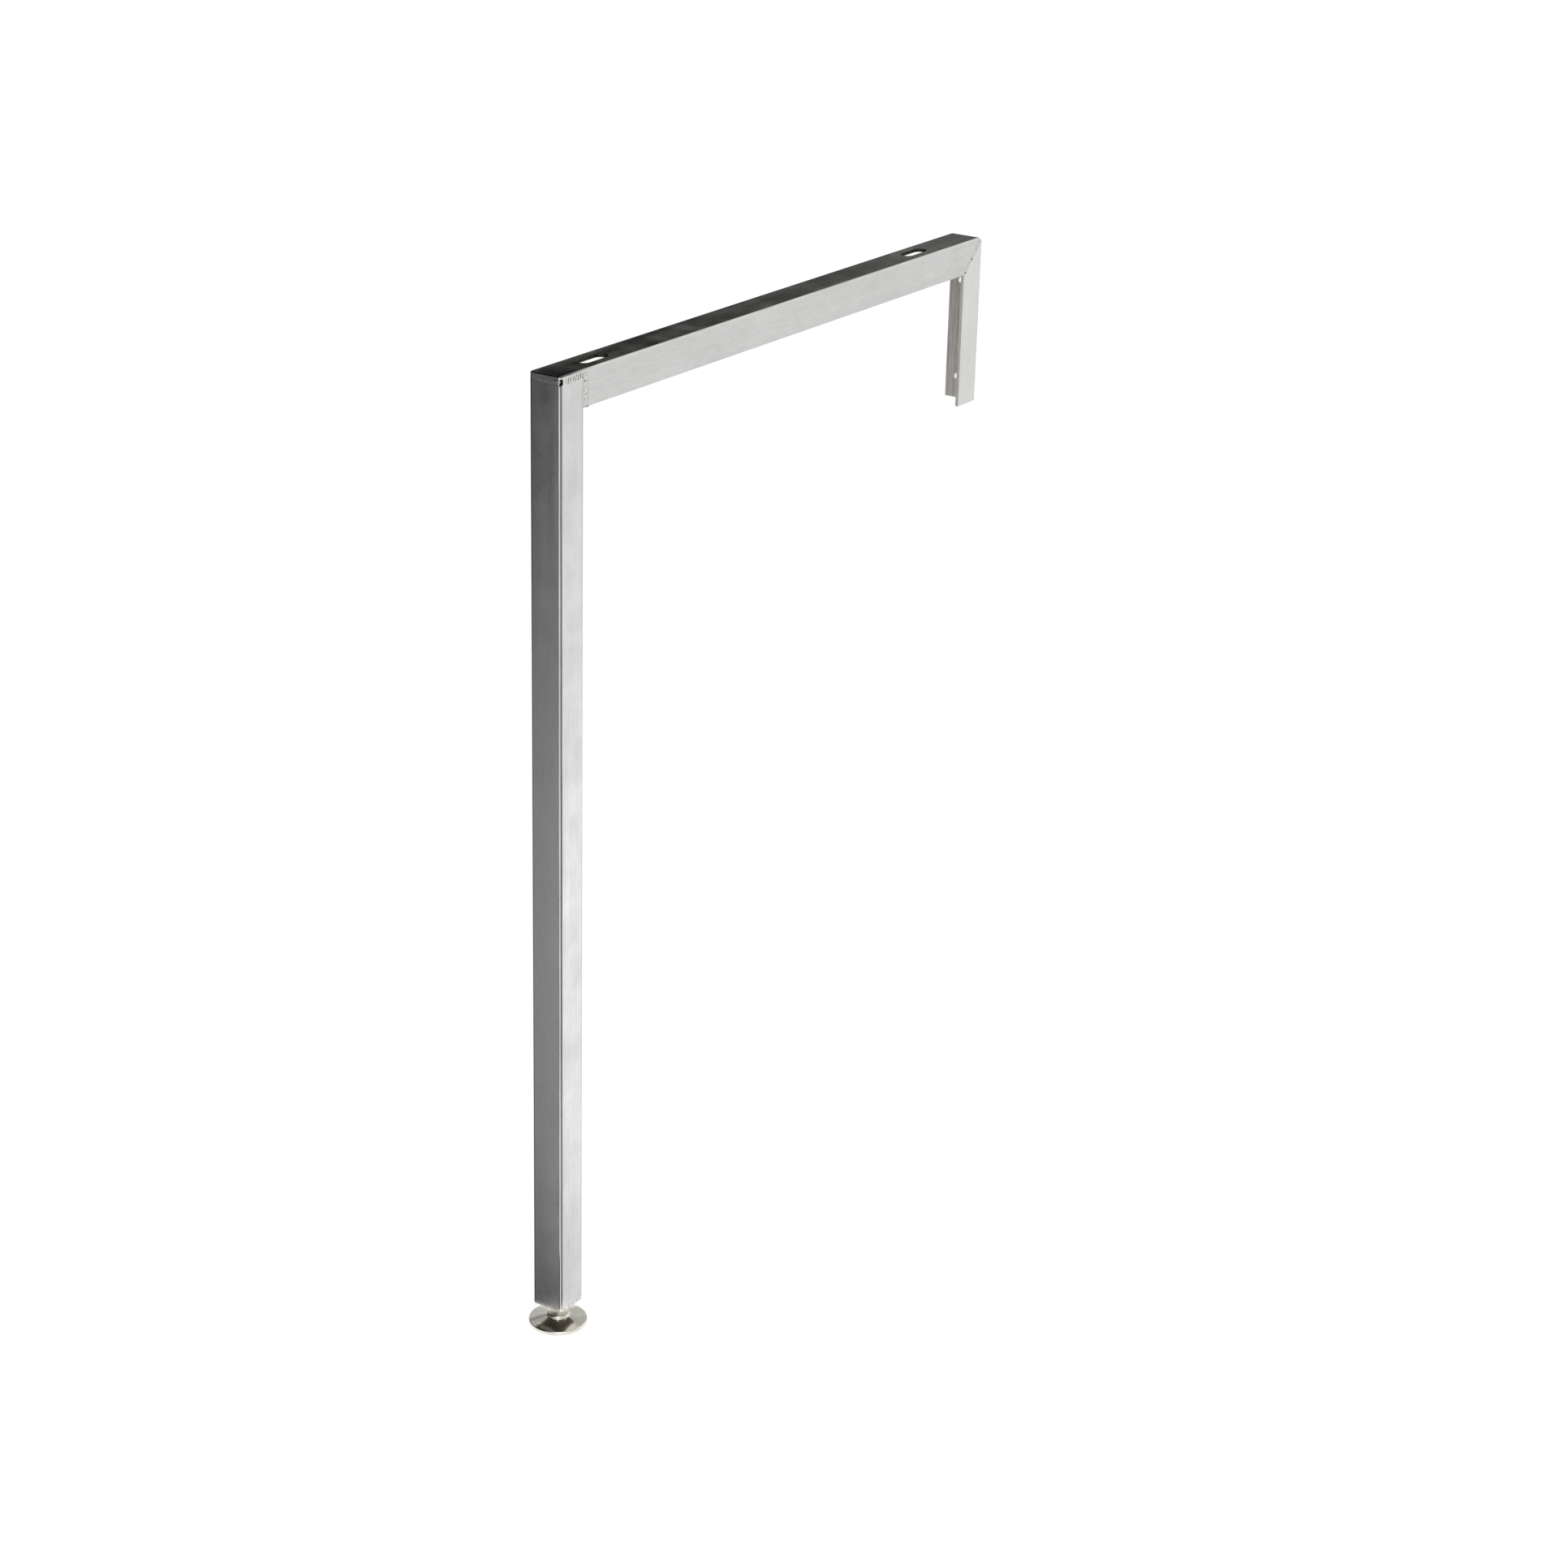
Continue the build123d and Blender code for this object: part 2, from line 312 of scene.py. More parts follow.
# %% Ground stainless steel
# A real belt scratch is about 0.05 mm wide. It is drawn 0.55 mm wide, so that it shows.
GRAIN_WIDTH = 0.55 * MM
GRAIN_LENGTH = 14 * MM
STREAK_WIDTH = 6 * MM
STREAK_LENGTH = 160 * MM
CLOUD_SHARE = 0.6
# A painted dark reflection on the top flange: dark grey near this corner of the leg, fading out with a
# cloudy edge.
PAINTED_DARK_CORNER = (HALF, -HALF, TOP)
PAINTED_DARK_REACH = 40 * MM
PAINTED_DARK_COLOUR = "55575C"


def ground_steel(name, light, dark, along, roughness, cloud_size, grain_share=0.4, spread=0.1,
                 bow=0.0, painted_dark_near_leg=False):
    """Stainless steel, ground with a belt along one axis.

    Thin faces bow out by a part of a millimetre, and one can get a painted dark reflection near the leg's
    top corner.
    """
    material, tree = new_material(name)
    place = add_node(tree, "ShaderNodeTexCoord").outputs["Object"]
    grain_sizes = [GRAIN_LENGTH if axis == along else GRAIN_WIDTH for axis in "XYZ"]
    grain_place = add_node(tree, "ShaderNodeMapping",
                           {"Vector": place, "Scale": [1 / s for s in grain_sizes]})
    grain = add_node(tree, "ShaderNodeTexNoise",
                     {"Vector": grain_place.outputs[0], "Scale": 1.0, "Detail": 2.0, "Roughness": 0.55})
    grain = add_node(tree, "ShaderNodeMapRange",
                     {"Value": grain.outputs["Fac"], "From Min": 0.3, "From Max": 0.7}).outputs[0]
    streak_sizes = [STREAK_LENGTH if axis == along else STREAK_WIDTH for axis in "XYZ"]
    streak_place = add_node(tree, "ShaderNodeMapping",
                            {"Vector": place, "Scale": [1 / s for s in streak_sizes]})
    streak = add_node(tree, "ShaderNodeTexNoise",
                      {"Vector": streak_place.outputs[0], "Scale": 1.0, "Detail": 3.0})
    cloud = add_node(tree, "ShaderNodeTexNoise",
                     {"Vector": place, "Scale": 1 / cloud_size, "Detail": 2.5, "Distortion": 0.4})
    soft = add_node(tree, "ShaderNodeMix",
                    {0: CLOUD_SHARE, 2: streak.outputs["Fac"], 3: cloud.outputs["Fac"]})
    soft = add_node(tree, "ShaderNodeMapRange",
                    {"Value": soft.outputs[0], "From Min": 0.3, "From Max": 0.7}).outputs[0]
    worn = add_node(tree, "ShaderNodeMix", {0: grain_share, 2: soft, 3: grain}).outputs[0]
    colour = add_node(tree, "ShaderNodeMix", {0: worn, 6: linear(light), 7: linear(dark)},
                      data_type="RGBA").outputs[2]
    # Painted dark reflection: near the leg's corner the colour turns to the dark grey.
    if painted_dark_near_leg:
        gap = add_node(tree, "ShaderNodeVectorMath", {0: place, 1: PAINTED_DARK_CORNER}, operation="DISTANCE")
        edge = add_node(tree, "ShaderNodeMath",
                        {0: cloud.outputs["Fac"], 1: PAINTED_DARK_REACH, 2: gap.outputs["Value"]},
                        operation="MULTIPLY_ADD")
        away_from_painted_dark = add_node(tree, "ShaderNodeMapRange",
                         {"Value": edge.outputs[0], "From Min": 0.5 * PAINTED_DARK_REACH,
                          "From Max": 1.7 * PAINTED_DARK_REACH}, interpolation_type="SMOOTHSTEP").outputs[0]
        colour = add_node(tree, "ShaderNodeMix", {0: away_from_painted_dark, 6: linear(PAINTED_DARK_COLOUR), 7: colour},
                          data_type="RGBA").outputs[2]
    rough = add_node(tree, "ShaderNodeMapRange",
                     {"Value": soft, "To Min": roughness - spread / 2, "To Max": roughness + spread / 2})
    section = add_node(tree, "ShaderNodeVectorMath",
                       {0: place, 1: [0.0 if axis == along else 1 / HALF for axis in "XYZ"]},
                       operation="MULTIPLY")
    crown = add_node(tree, "ShaderNodeVectorMath", {0: section.outputs[0], 1: section.outputs[0]},
                     operation="DOT_PRODUCT").outputs["Value"]
    relief = add_node(tree, "ShaderNodeMath", {0: crown, 1: -bow}, operation="MULTIPLY")
    bump = add_node(tree, "ShaderNodeBump",
                    {"Strength": 1.0, "Distance": 1.0, "Height": relief.outputs[0]})
    face = add_node(tree, "ShaderNodeNewGeometry").outputs["Normal"]
    scratch = [1.0 if axis == along else 0.0 for axis in "XYZ"]
    across = add_node(tree, "ShaderNodeVectorMath", {0: face, 1: scratch}, operation="CROSS_PRODUCT")
    steel = add_node(tree, "ShaderNodeBsdfPrincipled",
                     {"Base Color": colour, "Metallic": 1.0, "Roughness": rough.outputs[0],
                      "Anisotropic": 0.4, "Normal": bump.outputs[0], "Tangent": across.outputs[0]})
    add_node(tree, "ShaderNodeOutputMaterial", {"Surface": steel.outputs[0]})
    return material


tube_steel = ground_steel("stainless_tube_ground", "F7F7F7", "D6D7D7", "Z", 0.30, 30 * MM, spread=0.14,
                          bow=0.25 * MM)
side_steel = ground_steel("stainless_flange_ground", "EAEAE9", "CFCFCE", "Y", 0.33, 34 * MM, 0.55)
# The arm is the same bar as the side flange. Its colours are painted lighter, which is painted light.
arm_steel_painted_lighter = ground_steel("stainless_arm_ground_painted_lighter", "FAFAF9", "E8E8E6", "Z", 0.33, 30 * MM, 0.5)
# The top flange was polished, so it has less grain and mirrors more. Its colours are painted darker, as
# painted shade.
top_steel_painted_darker = ground_steel("stainless_top_polished_painted_darker", "DCDCD6", "BCBCB6", "Y", 0.19, 36 * MM, 0.15, 0.2,
                         # Near the leg the top flange also gets a painted dark reflection.
                         painted_dark_near_leg=True)
print("ground steels:", tube_steel.name, side_steel.name, arm_steel_painted_lighter.name, top_steel_painted_darker.name)

# %% [markdown]
# The belt didn't reach everything. The rounded corners of the tube are burnished by the
# rollers that drew it, so they are narrow mirrors. The inside of the angle bar keeps the
# dull skin of the rolling mill, a little warmer and streaked. The slots were burned through,
# which leaves a dark oxide on their walls. Each one is a small material of its own.

# %% Burnished, mill and cut steel
ROLLER_LINES = (2 * MM, 2 * MM, 60 * MM)
MILL_STREAK_Y = (1.6 * MM, 30 * MM, 1.6 * MM)
MILL_STREAK_Z = (1.6 * MM, 1.6 * MM, 30 * MM)
# Drag lines of a cut are about 0.2 mm apart. They are drawn 0.5 mm apart, so that they show.
CUT_LINES = (0.5 * MM, 0.5 * MM, 4 * MM)


def plain_steel(name, light, dark, roughness, sizes, spread=0.1):
    """Unground steel with one drawn-out pattern in its colour and its gloss."""
    material, tree = new_material(name)
    place = add_node(tree, "ShaderNodeTexCoord").outputs["Object"]
    drawn = add_node(tree, "ShaderNodeMapping", {"Vector": place, "Scale": [1 / s for s in sizes]})
    marks = add_node(tree, "ShaderNodeTexNoise",
                     {"Vector": drawn.outputs[0], "Scale": 1.0, "Detail": 4.0, "Roughness": 0.6})
    marks = add_node(tree, "ShaderNodeMapRange",
                     {"Value": marks.outputs["Fac"], "From Min": 0.36, "From Max": 0.64}).outputs[0]
    colour = add_node(tree, "ShaderNodeMix", {0: marks, 6: linear(light), 7: linear(dark)},
                      data_type="RGBA").outputs[2]
    rough = add_node(tree, "ShaderNodeMapRange",
                     {"Value": marks, "To Min": roughness - spread / 2, "To Max": roughness + spread / 2})
    bump = add_node(tree, "ShaderNodeBump", {"Strength": 0.4, "Distance": 0.02 * MM, "Height": marks})
    steel = add_node(tree, "ShaderNodeBsdfPrincipled",
                     {"Base Color": colour, "Metallic": 1.0, "Roughness": rough.outputs[0],
                      "Normal": bump.outputs[0]})
    add_node(tree, "ShaderNodeOutputMaterial", {"Surface": steel.outputs[0]})
    return material


corner_steel = plain_steel("stainless_corner_burnished", "CBCCCA", "BABBB9", 0.12, ROLLER_LINES, 0.06)
mill_bar = plain_steel("stainless_mill_skin_bar", "F4F2EF", "D4D1CB", 0.66, MILL_STREAK_Y, 0.16)
mill_steel = plain_steel("stainless_mill_skin", "F6F3EF", "CFCBC5", 0.66, MILL_STREAK_Z, 0.16)
cut_steel = plain_steel("stainless_cut_edge", "5A5752", "2C2A27", 0.5, CUT_LINES)
print("other steels:", corner_steel.name, mill_bar.name, mill_steel.name, cut_steel.name)

# %% [markdown]
# The foot is plain steel plated with nickel. Nickel is a little yellow, and smooth where the
# steel under it was turned, so the cone of the plate mirrors the underside of the leg as a
# dark wedge. The insert's rim was blasted before plating and is paler, as are the walls of
# the plate's screw holes, and the insert's face under the leg is left rough from the saw.

# %% Nickel plating
def nickel_plate(name, light, dark, roughness, cloud_size):
    """Nickel plate with faint clouds in its colour and its gloss."""
    material, tree = new_material(name)
    place = add_node(tree, "ShaderNodeTexCoord").outputs["Object"]
    cloud = add_node(tree, "ShaderNodeTexNoise",
                     {"Vector": place, "Scale": 1 / cloud_size, "Detail": 4.0})
    cloud = add_node(tree, "ShaderNodeMapRange",
                     {"Value": cloud.outputs["Fac"], "From Min": 0.38, "From Max": 0.62}).outputs[0]
    colour = add_node(tree, "ShaderNodeMix", {0: cloud, 6: linear(light), 7: linear(dark)},
                      data_type="RGBA").outputs[2]
    rough = add_node(tree, "ShaderNodeMapRange",
                     {"Value": cloud, "To Min": roughness - 0.03, "To Max": roughness + 0.04})
    nickel = add_node(tree, "ShaderNodeBsdfPrincipled",
                      {"Base Color": colour, "Metallic": 1.0, "Roughness": rough.outputs[0]})
    add_node(tree, "ShaderNodeOutputMaterial", {"Surface": nickel.outputs[0]})
    return material


turned_nickel = nickel_plate("nickel_plate_turned", "EEECE4", "DFDCD1", 0.15, 9 * MM)
milled_nickel = nickel_plate("nickel_plate_milled", "E9E6DD", "D3CFC3", 0.22, 6 * MM)
blasted_nickel = nickel_plate("nickel_plate_blasted", "FBF8F0", "D8D3C7", 0.4, 3 * MM)
sawn_nickel = nickel_plate("nickel_plate_sawn", "6E6A62", "4C4944", 0.45, 2 * MM)
print("platings:", turned_nickel.name, milled_nickel.name, blasted_nickel.name, sawn_nickel.name)

# %% [markdown]
# ## Easing the edges
#
# CAD edges are razor sharp and no real one is: a cut end or a punched hole always catches a
# thin line of light. The nodes' own meshes stay as they are, so each piece starts as a
# merged copy, whose sharp edges get a small bevel. Weighted normals then keep the flats flat.

# %% Copies with eased edges
MERGE = 0.001 * MM
FLAT = math.radians(0.3)
SHARP = math.radians(35)


def merged_copy(node):
    """A CAD node's mesh as one closed skin with whole flat faces."""
    shape = bmesh.new()
    shape.from_mesh(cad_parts[node].data)
    bmesh.ops.remove_doubles(shape, verts=shape.verts, dist=MERGE)
    bmesh.ops.dissolve_limit(shape, angle_limit=FLAT, verts=shape.verts, edges=shape.edges)
    return shape


def ease_edges(shape, width):
    """A small two-step bevel on every sharp edge."""
    sharp = [e for e in shape.edges if len(e.link_faces) == 2 and e.calc_face_angle() > SHARP]
    bmesh.ops.bevel(shape, geom=sharp, offset=width, offset_type="OFFSET", affect="EDGES",
                    segments=2, profile=0.5, clamp_overlap=True, material=-1)


def finished(shape, name, nodes, body, materials, flats=True):
    """The object of a finished shape, in place of its CAD nodes."""
    mesh = bpy.data.meshes.new(name)
    shape.to_mesh(mesh)
    shape.free()
    mesh.shade_smooth()
    for material in materials:
        mesh.materials.append(material)
    piece = bpy.data.objects.new(name, mesh)
    bpy.context.scene.collection.objects.link(piece)
    if flats:
        mesh.set_sharp_from_angle(angle=SHARP)
        piece.modifiers.new("even_flats", "WEIGHTED_NORMAL").keep_sharp = True
    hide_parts(*nodes)
    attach(piece, body)
    print(name, len(mesh.polygons), "faces for", ", ".join(nodes))


# %% [markdown]
# ## The square tube
#
# It is drawn tube with small rounded corners. One mesh has three finishes, chosen face by
# face from where each face points: ground flats, burnished corners and the skin inside.

# %% Square tube
TUBE_EDGE = 0.2 * MM

shape = merged_copy("leg_tube")
ease_edges(shape, TUBE_EDGE)
for face in shape.faces:
    normal = face.normal
    place = face.calc_center_median()
    inwards = normal.x * place.x + normal.y * place.y < 0
    corner = abs(normal.x) > 0.05 and abs(normal.y) > 0.05
    face.material_index = 2 if inwards else 1 if corner else 0
finished(shape, "square_tube", ["leg_tube"], "frame",
         [tube_steel, corner_steel, mill_steel])

# %% [markdown]
# ## The bearer
#
# One angle bar makes the bearer and the wall arm: its side flange was notched, its top flange
# folded down, and the notch closed with a weld. The belt ran along each stretch, so the grain
# turns at that mitre. The mesh is cut along the mitre's plane, and then each face gets the
# finish of its own stretch. The faces inside the angle keep the mill's skin.

# %% Bearer
BAR_EDGE = 0.25 * MM
# The slots are 12 mm wide and go through 3 mm of steel. Their walls lie within these.
SLOT_REACH = 6.5 * MM
SLOT_DEPTH = 2.9 * MM


def behind_mitre(place):
    """True for a place on the arm's side of the mitre."""
    return place.y - WALL > place.z - TOP


def bearer_finish(face):
    """0 ground along Y, 1 polished top, 2 ground along Z, 3 and 5 mill skin, 4 slot walls."""
    normal = face.normal
    place = face.calc_center_median()
    in_slot = abs(place.x) < SLOT_REACH and place.z > TOP - SLOT_DEPTH and abs(normal.z) < 0.3
    if in_slot and not behind_mitre(place) and place.y > 0:
        return 4
    if normal.x < -0.5 and place.x > 0 or normal.z < -0.5 or (normal.y < -0.5 and place.y > 0):
        return 5 if behind_mitre(place) else 3
    if behind_mitre(place):
        return 2
    return 1 if normal.z > 0.3 else 0


shape = merged_copy("bearer")
ease_edges(shape, BAR_EDGE)
bmesh.ops.bisect_plane(shape, geom=shape.verts[:] + shape.edges[:] + shape.faces[:], dist=MERGE,
                       plane_co=(0, WALL, TOP), plane_no=(0, 1, -1))
for face in shape.faces:
    face.material_index = bearer_finish(face)
finished(shape, "angle_bearer", ["bearer"], "frame",
         [side_steel, top_steel_painted_darker, arm_steel_painted_lighter, mill_bar, cut_steel, mill_steel])

# %% [markdown]
# ## The welds
#
# Weld metal is a row of frozen ripples with pits and a rim of dark oxide, partly ground away
# afterwards. It is a relief on the steel under it, so each weld starts as a fine grid that is
# laid on that steel and raised point by point. Its borders sink below the surface, which
# gives an uneven outline, and a wall thickness closes the skin behind. How much oxide each
# point has is stored as an attribute, for the material to read.

# %% Weld metal
MOTTLE_SIZE = 1.6 * MM
# How far a weld's border lies under the steel's surface, in millimetres.
SUNK = 0.15


def weld_metal():
    """Stainless weld metal: bright where it was ground, brown and black where it oxidised."""
    material, tree = new_material("stainless_weld_metal")
    place = add_node(tree, "ShaderNodeTexCoord").outputs["Object"]
    oxide = add_node(tree, "ShaderNodeAttribute", attribute_name="oxide").outputs["Fac"]
    mottle = add_node(tree, "ShaderNodeTexNoise",
                      {"Vector": place, "Scale": 1 / MOTTLE_SIZE, "Detail": 4.0})
    mottle = add_node(tree, "ShaderNodeMapRange",
                      {"Value": mottle.outputs["Fac"], "From Min": 0.38, "From Max": 0.62}).outputs[0]
    bright = add_node(tree, "ShaderNodeMix", {0: mottle, 6: linear("EEEEEC"), 7: linear("D8D7D4")},
                      data_type="RGBA").outputs[2]
    tint = add_node(tree, "ShaderNodeValToRGB", {"Fac": oxide})
    ramp = tint.color_ramp.elements
    ramp[0].position = 0.0
    ramp[0].color = linear("FFFFFF")
    ramp[1].position = 1.0
    ramp[1].color = linear("1C1917")
    for position, straw in ((0.3, "DEDAD2"), (0.6, "8A7F73")):
        ramp.new(position).color = linear(straw)
    colour = add_node(tree, "ShaderNodeMix", {0: 1.0, 6: bright, 7: tint.outputs["Color"]},
                      data_type="RGBA", blend_type="MULTIPLY").outputs[2]
    grind = add_node(tree, "ShaderNodeMix", {0: mottle, 2: 0.26, 3: 0.42}).outputs[0]
    rough = add_node(tree, "ShaderNodeMix", {0: oxide, 2: grind, 3: 0.6}).outputs[0]
    bump = add_node(tree, "ShaderNodeBump",
                    {"Strength": 0.4, "Distance": 0.04 * MM, "Height": mottle})
    weld = add_node(tree, "ShaderNodeBsdfPrincipled",
                    {"Base Color": colour, "Metallic": 1.0, "Roughness": rough,
                     "Normal": bump.outputs[0]})
    add_node(tree, "ShaderNodeOutputMaterial", {"Surface": weld.outputs[0]})
    return material


weld_steel = weld_metal()


def smooth(value):
    """0 below 0, 1 above 1, and an even rise between."""
    value = min(max(value, 0.0), 1.0)
    return value * value * (3 - 2 * value)


def between(points, at):
    """Height at a place of a line through drawn points."""
    for (a, low), (b, high) in zip(points, points[1:]):
        if at <= b:
            return low + (high - low) * smooth((at - a) / (b - a))
    return points[-1][1]


def grain_noise(*place):
    """Uneven relief of about one unit's size, from -1 to 1."""
    return noise.fractal(Vector(place), 0.9, 2.0, 3)


def lay_weld(name, node, columns, rows, place, relief, thickness):
    """A closed skin of weld metal in place of a CAD bead.

    For shares u and v of its length and width, place gives a point and the way it faces, and
    relief gives the height there and how dark the oxide is. Both count in millimetres.
    """
    shape = bmesh.new()
    bmesh.ops.create_grid(shape, x_segments=columns, y_segments=rows, size=0.5)
    oxide = shape.verts.layers.float.new("oxide")
    for vertex in shape.verts:
        u, v = vertex.co.x + 0.5, vertex.co.y + 0.5
        height, dark = relief(u, v)
        spot, outward = place(u, v)
        vertex.co = (spot + height * outward) * MM
        vertex[oxide] = min(max(dark, 0.0), 1.0)
    bmesh.ops.recalc_face_normals(shape, faces=shape.faces)
    spot, outward = place(0.5, 0.5)
    middle = min(shape.faces, key=lambda f: (f.calc_center_median() - spot * MM).length)
    if middle.normal.dot(outward) < 0:
        bmesh.ops.reverse_faces(shape, faces=shape.faces)
    bmesh.ops.solidify(shape, geom=shape.faces[:], thickness=thickness)
    finished(shape, name, [node], "frame", [weld_steel], flats=False)


def spots(marks, along, up):
    """How deep a place lies in a list of round pits, from 0 to 1."""
    return max(math.exp(-((along - a) ** 2 + (up - b) ** 2) / r ** 2) for a, b, r in marks)


print("weld material:", weld_steel.name)

# %% [markdown]
# The first weld closes the seam under the flange, across the front and round the right
# corner. On the front it was ground nearly flush and only its lower edge shows, as a dark
# curved line. The corner was left black with a pit in it. On the right side the ripples are
# higher and end in arcs. Places are in millimetres along the seam, and up from it.

# %% Weld under the flange
FRONT_START = -12.9
FLAT_END = (HALF - TUBE_CORNER) / MM
FRONT_RUN = FLAT_END - FRONT_START
BEND_RUN = TUBE_CORNER / MM * math.pi / 2
CAP_RUN = FRONT_RUN + BEND_RUN + 26.5
CAP_BELOW, CAP_ABOVE = -9.4, 2.2
CAP_LOWER_EDGE = ((0, -1.5), (6, -2.8), (10, -4.2), (17.5, -5.3), (27.2, -5.1), (33, -5.6), (41, -7.6),
                  (44.8, -5.3), (47.5, -6.6), (50.7, -4.6), (56, -6.5))
CAP_UPPER_EDGE = ((0, 0.5), (25, 0.75), (29, 0.8), (44, 1.1), (45.1, 0.1), (46.5, 1.3), (50, 1.3),
                  (50.7, 0.1), (52, 1.4), (56, 1.4))
CAP_RIM_OXIDE = ((0, 0), (8, 0.15), (11, 0.9), (27, 0.9), (31, 0.1))
CAP_PITS = ((45.1, 0.5, 0.8), (50.7, 0.5, 0.9), (47.4, -5.0, 0.5), (49.2, -2.6, 0.6))
# From one ripple to the next, and how large the rough grain is.
CAP_RIPPLE = 3.1
CAP_GRAIN = 1.5
# Where the weld turns the corner, where it is black, and the raised lip round its crater, which also
# carries a painted glint.
CAP_BEND = 27
BLACK_FROM, BLACK_TO = 26.2, 29.9
GLINT_RING_ALONG, GLINT_RING_UP = 26.9, -1.4


def cap_place(u, v):
    """A point of the tube's front, corner or right side, and the way it faces."""
    along = u * CAP_RUN
    up = SEAM / MM + CAP_BELOW + v * (CAP_ABOVE - CAP_BELOW)
    side = HALF / MM
    if along <= FRONT_RUN:
        return Vector((FRONT_START + along, -side, up)), Vector((0, -1, 0))
    turn = min((along - FRONT_RUN) / BEND_RUN, 1.0) * math.pi / 2
    outward = Vector((math.sin(turn), -math.cos(turn), 0))
    past = max(along - FRONT_RUN - BEND_RUN, 0.0)
    return Vector((FLAT_END, -FLAT_END + past, up)) + TUBE_CORNER / MM * outward, outward


def cap_relief(u, v):
    """Height and oxide of the weld under the flange."""
    along = u * CAP_RUN
    up = CAP_BELOW + v * (CAP_ABOVE - CAP_BELOW)
    wander = 0.22 * grain_noise(along / 2.1, 0.3, 0.7)
    over = up - between(CAP_LOWER_EDGE, along) + wander
    under = between(CAP_UPPER_EDGE, along) - up + 0.5 * wander
    side = smooth((along - CAP_BEND) / 3)
    rise = smooth(min(over / (0.75 + 2.0 * side), under / 0.75))
    rough = grain_noise(along / CAP_GRAIN, up / CAP_GRAIN, 3.1)
    drift = 1.3 * grain_noise(along / 6, up / 4, 6.6)
    ripple = math.sin(math.tau * (along - 0.10 * (up + 2.5) ** 2 + drift) / CAP_RIPPLE)
    crown = 0.14 + 0.06 * side + (0.012 + 0.05 * side) * ripple + (0.05 + 0.02 * side) * rough
    height = -SUNK + rise * (SUNK + crown)
    rim = math.exp(-((over - 0.35) / 0.42) ** 2) * between(CAP_RIM_OXIDE, along)
    arcs = smooth((up + 5.0) / 2.0) * smooth((along - 32) / 3)
    valley = side * (0.15 + 1.5 * arcs) * max(0.0, -ripple - 0.5) + 0.3 * max(0.0, -rough - 0.3)
    corner = smooth((along - BLACK_FROM) / 0.7) * smooth((BLACK_TO - along) / 0.7)
    corner *= smooth((up + 5.8) / 0.8)
    # The lip round the crater is raised, and its oxide is taken away, which paints a bright glint into
    # the black corner.
    raised_rim_and_glint = math.exp(-((math.hypot(along - GLINT_RING_ALONG, up - GLINT_RING_UP) - 0.3) / 0.4) ** 2)
    pit = spots(CAP_PITS, along, up)
    return height - 0.3 * pit + 0.15 * raised_rim_and_glint, rim + valley + pit + corner - 0.7 * raised_rim_and_glint


lay_weld("cap_weld", "cap_bead", 200, 42, cap_place, cap_relief, 0.6 * MM)

# %% [markdown]
# The second weld stands upright and fills the tube's rounded corner beside the side flange.
# It was left as laid: level ripples, a brown line of heat along the flange, and a dark lip
# at its lower end.

# %% Upright weld
BUTT_LEFT, BUTT_RIGHT = 11.8, 21.6
BUTT_LOW, BUTT_HIGH = -27.4, 1.6
BUTT_LEFT_EDGE = ((-27.4, 14.4), (-20, 13.1), (-10, 12.7), (1.6, 12.5))
BUTT_RIGHT_EDGE = ((-27.4, 20.4), (-8, 20.6), (-3.2, 20.5), (-0.8, 18.6), (0.8, 15.8))
BUTT_PITS = ((15.6, -6.3, 0.7), (16.6, -16.8, 0.6), (15.2, -21.0, 0.55))
HEAT_LINE = ((-27.4, 0.9), (-22, 0.75), (-19, 1.2), (-9, 1.3), (-6, 0.85), (0, 0.6))
BUTT_MIDDLE = 16.6
BUTT_RIPPLE = 2.1
BUTT_GRAIN = 1.4


def butt_place(u, v):
    """A point of the plane that the side flange and the tube share."""
    across = BUTT_LEFT + u * (BUTT_RIGHT - BUTT_LEFT)
    up = SEAM / MM + BUTT_LOW + v * (BUTT_HIGH - BUTT_LOW)
    return Vector((HALF / MM, across, up)), Vector((1, 0, 0))


def butt_relief(u, v):
    """Height and oxide of the upright weld."""
    across = BUTT_LEFT + u * (BUTT_RIGHT - BUTT_LEFT)
    up = BUTT_LOW + v * (BUTT_HIGH - BUTT_LOW)
    wander = 0.3 * grain_noise(0.9, up / 2.3, 4.2)
    left = across - between(BUTT_LEFT_EDGE, up) + wander
    right = between(BUTT_RIGHT_EDGE, up) - across + 0.4 * wander
    rise = smooth(min(0.4 * left, right, 1.3 * (up - BUTT_LOW), BUTT_HIGH - 0.3 - up) / 1.5)
    ripple = math.sin(math.tau * (up + 0.09 * (across - BUTT_MIDDLE) ** 2) / BUTT_RIPPLE)
    rough = grain_noise(across / BUTT_GRAIN, up / BUTT_GRAIN, 8.3)
    height = -SUNK + rise * (SUNK + 0.34 + 0.06 * ripple + 0.07 * rough)
    heat = math.exp(-((right - 0.45) / 0.65) ** 2) * between(HEAT_LINE, up)
    lip = math.exp(-((up - BUTT_LOW - 0.5) / 0.5) ** 2) * smooth((across - 15.8) / 1.0)
    valley = 0.25 * max(0.0, -ripple - 0.6) + 0.4 * max(0.0, -rough - 0.3)
    pit = spots(BUTT_PITS, across, up)
    return height - 0.3 * pit, heat + lip + valley + pit


lay_weld("upright_weld", "butt_bead", 42, 124, butt_place, butt_relief, 0.9 * MM)

# %% [markdown]
# The third weld closes the mitre of the wall arm. It was laid in one pass and never ground:
# a narrow string of overlapping drops, 2.2 mm apart, with a pit where the arc stopped.

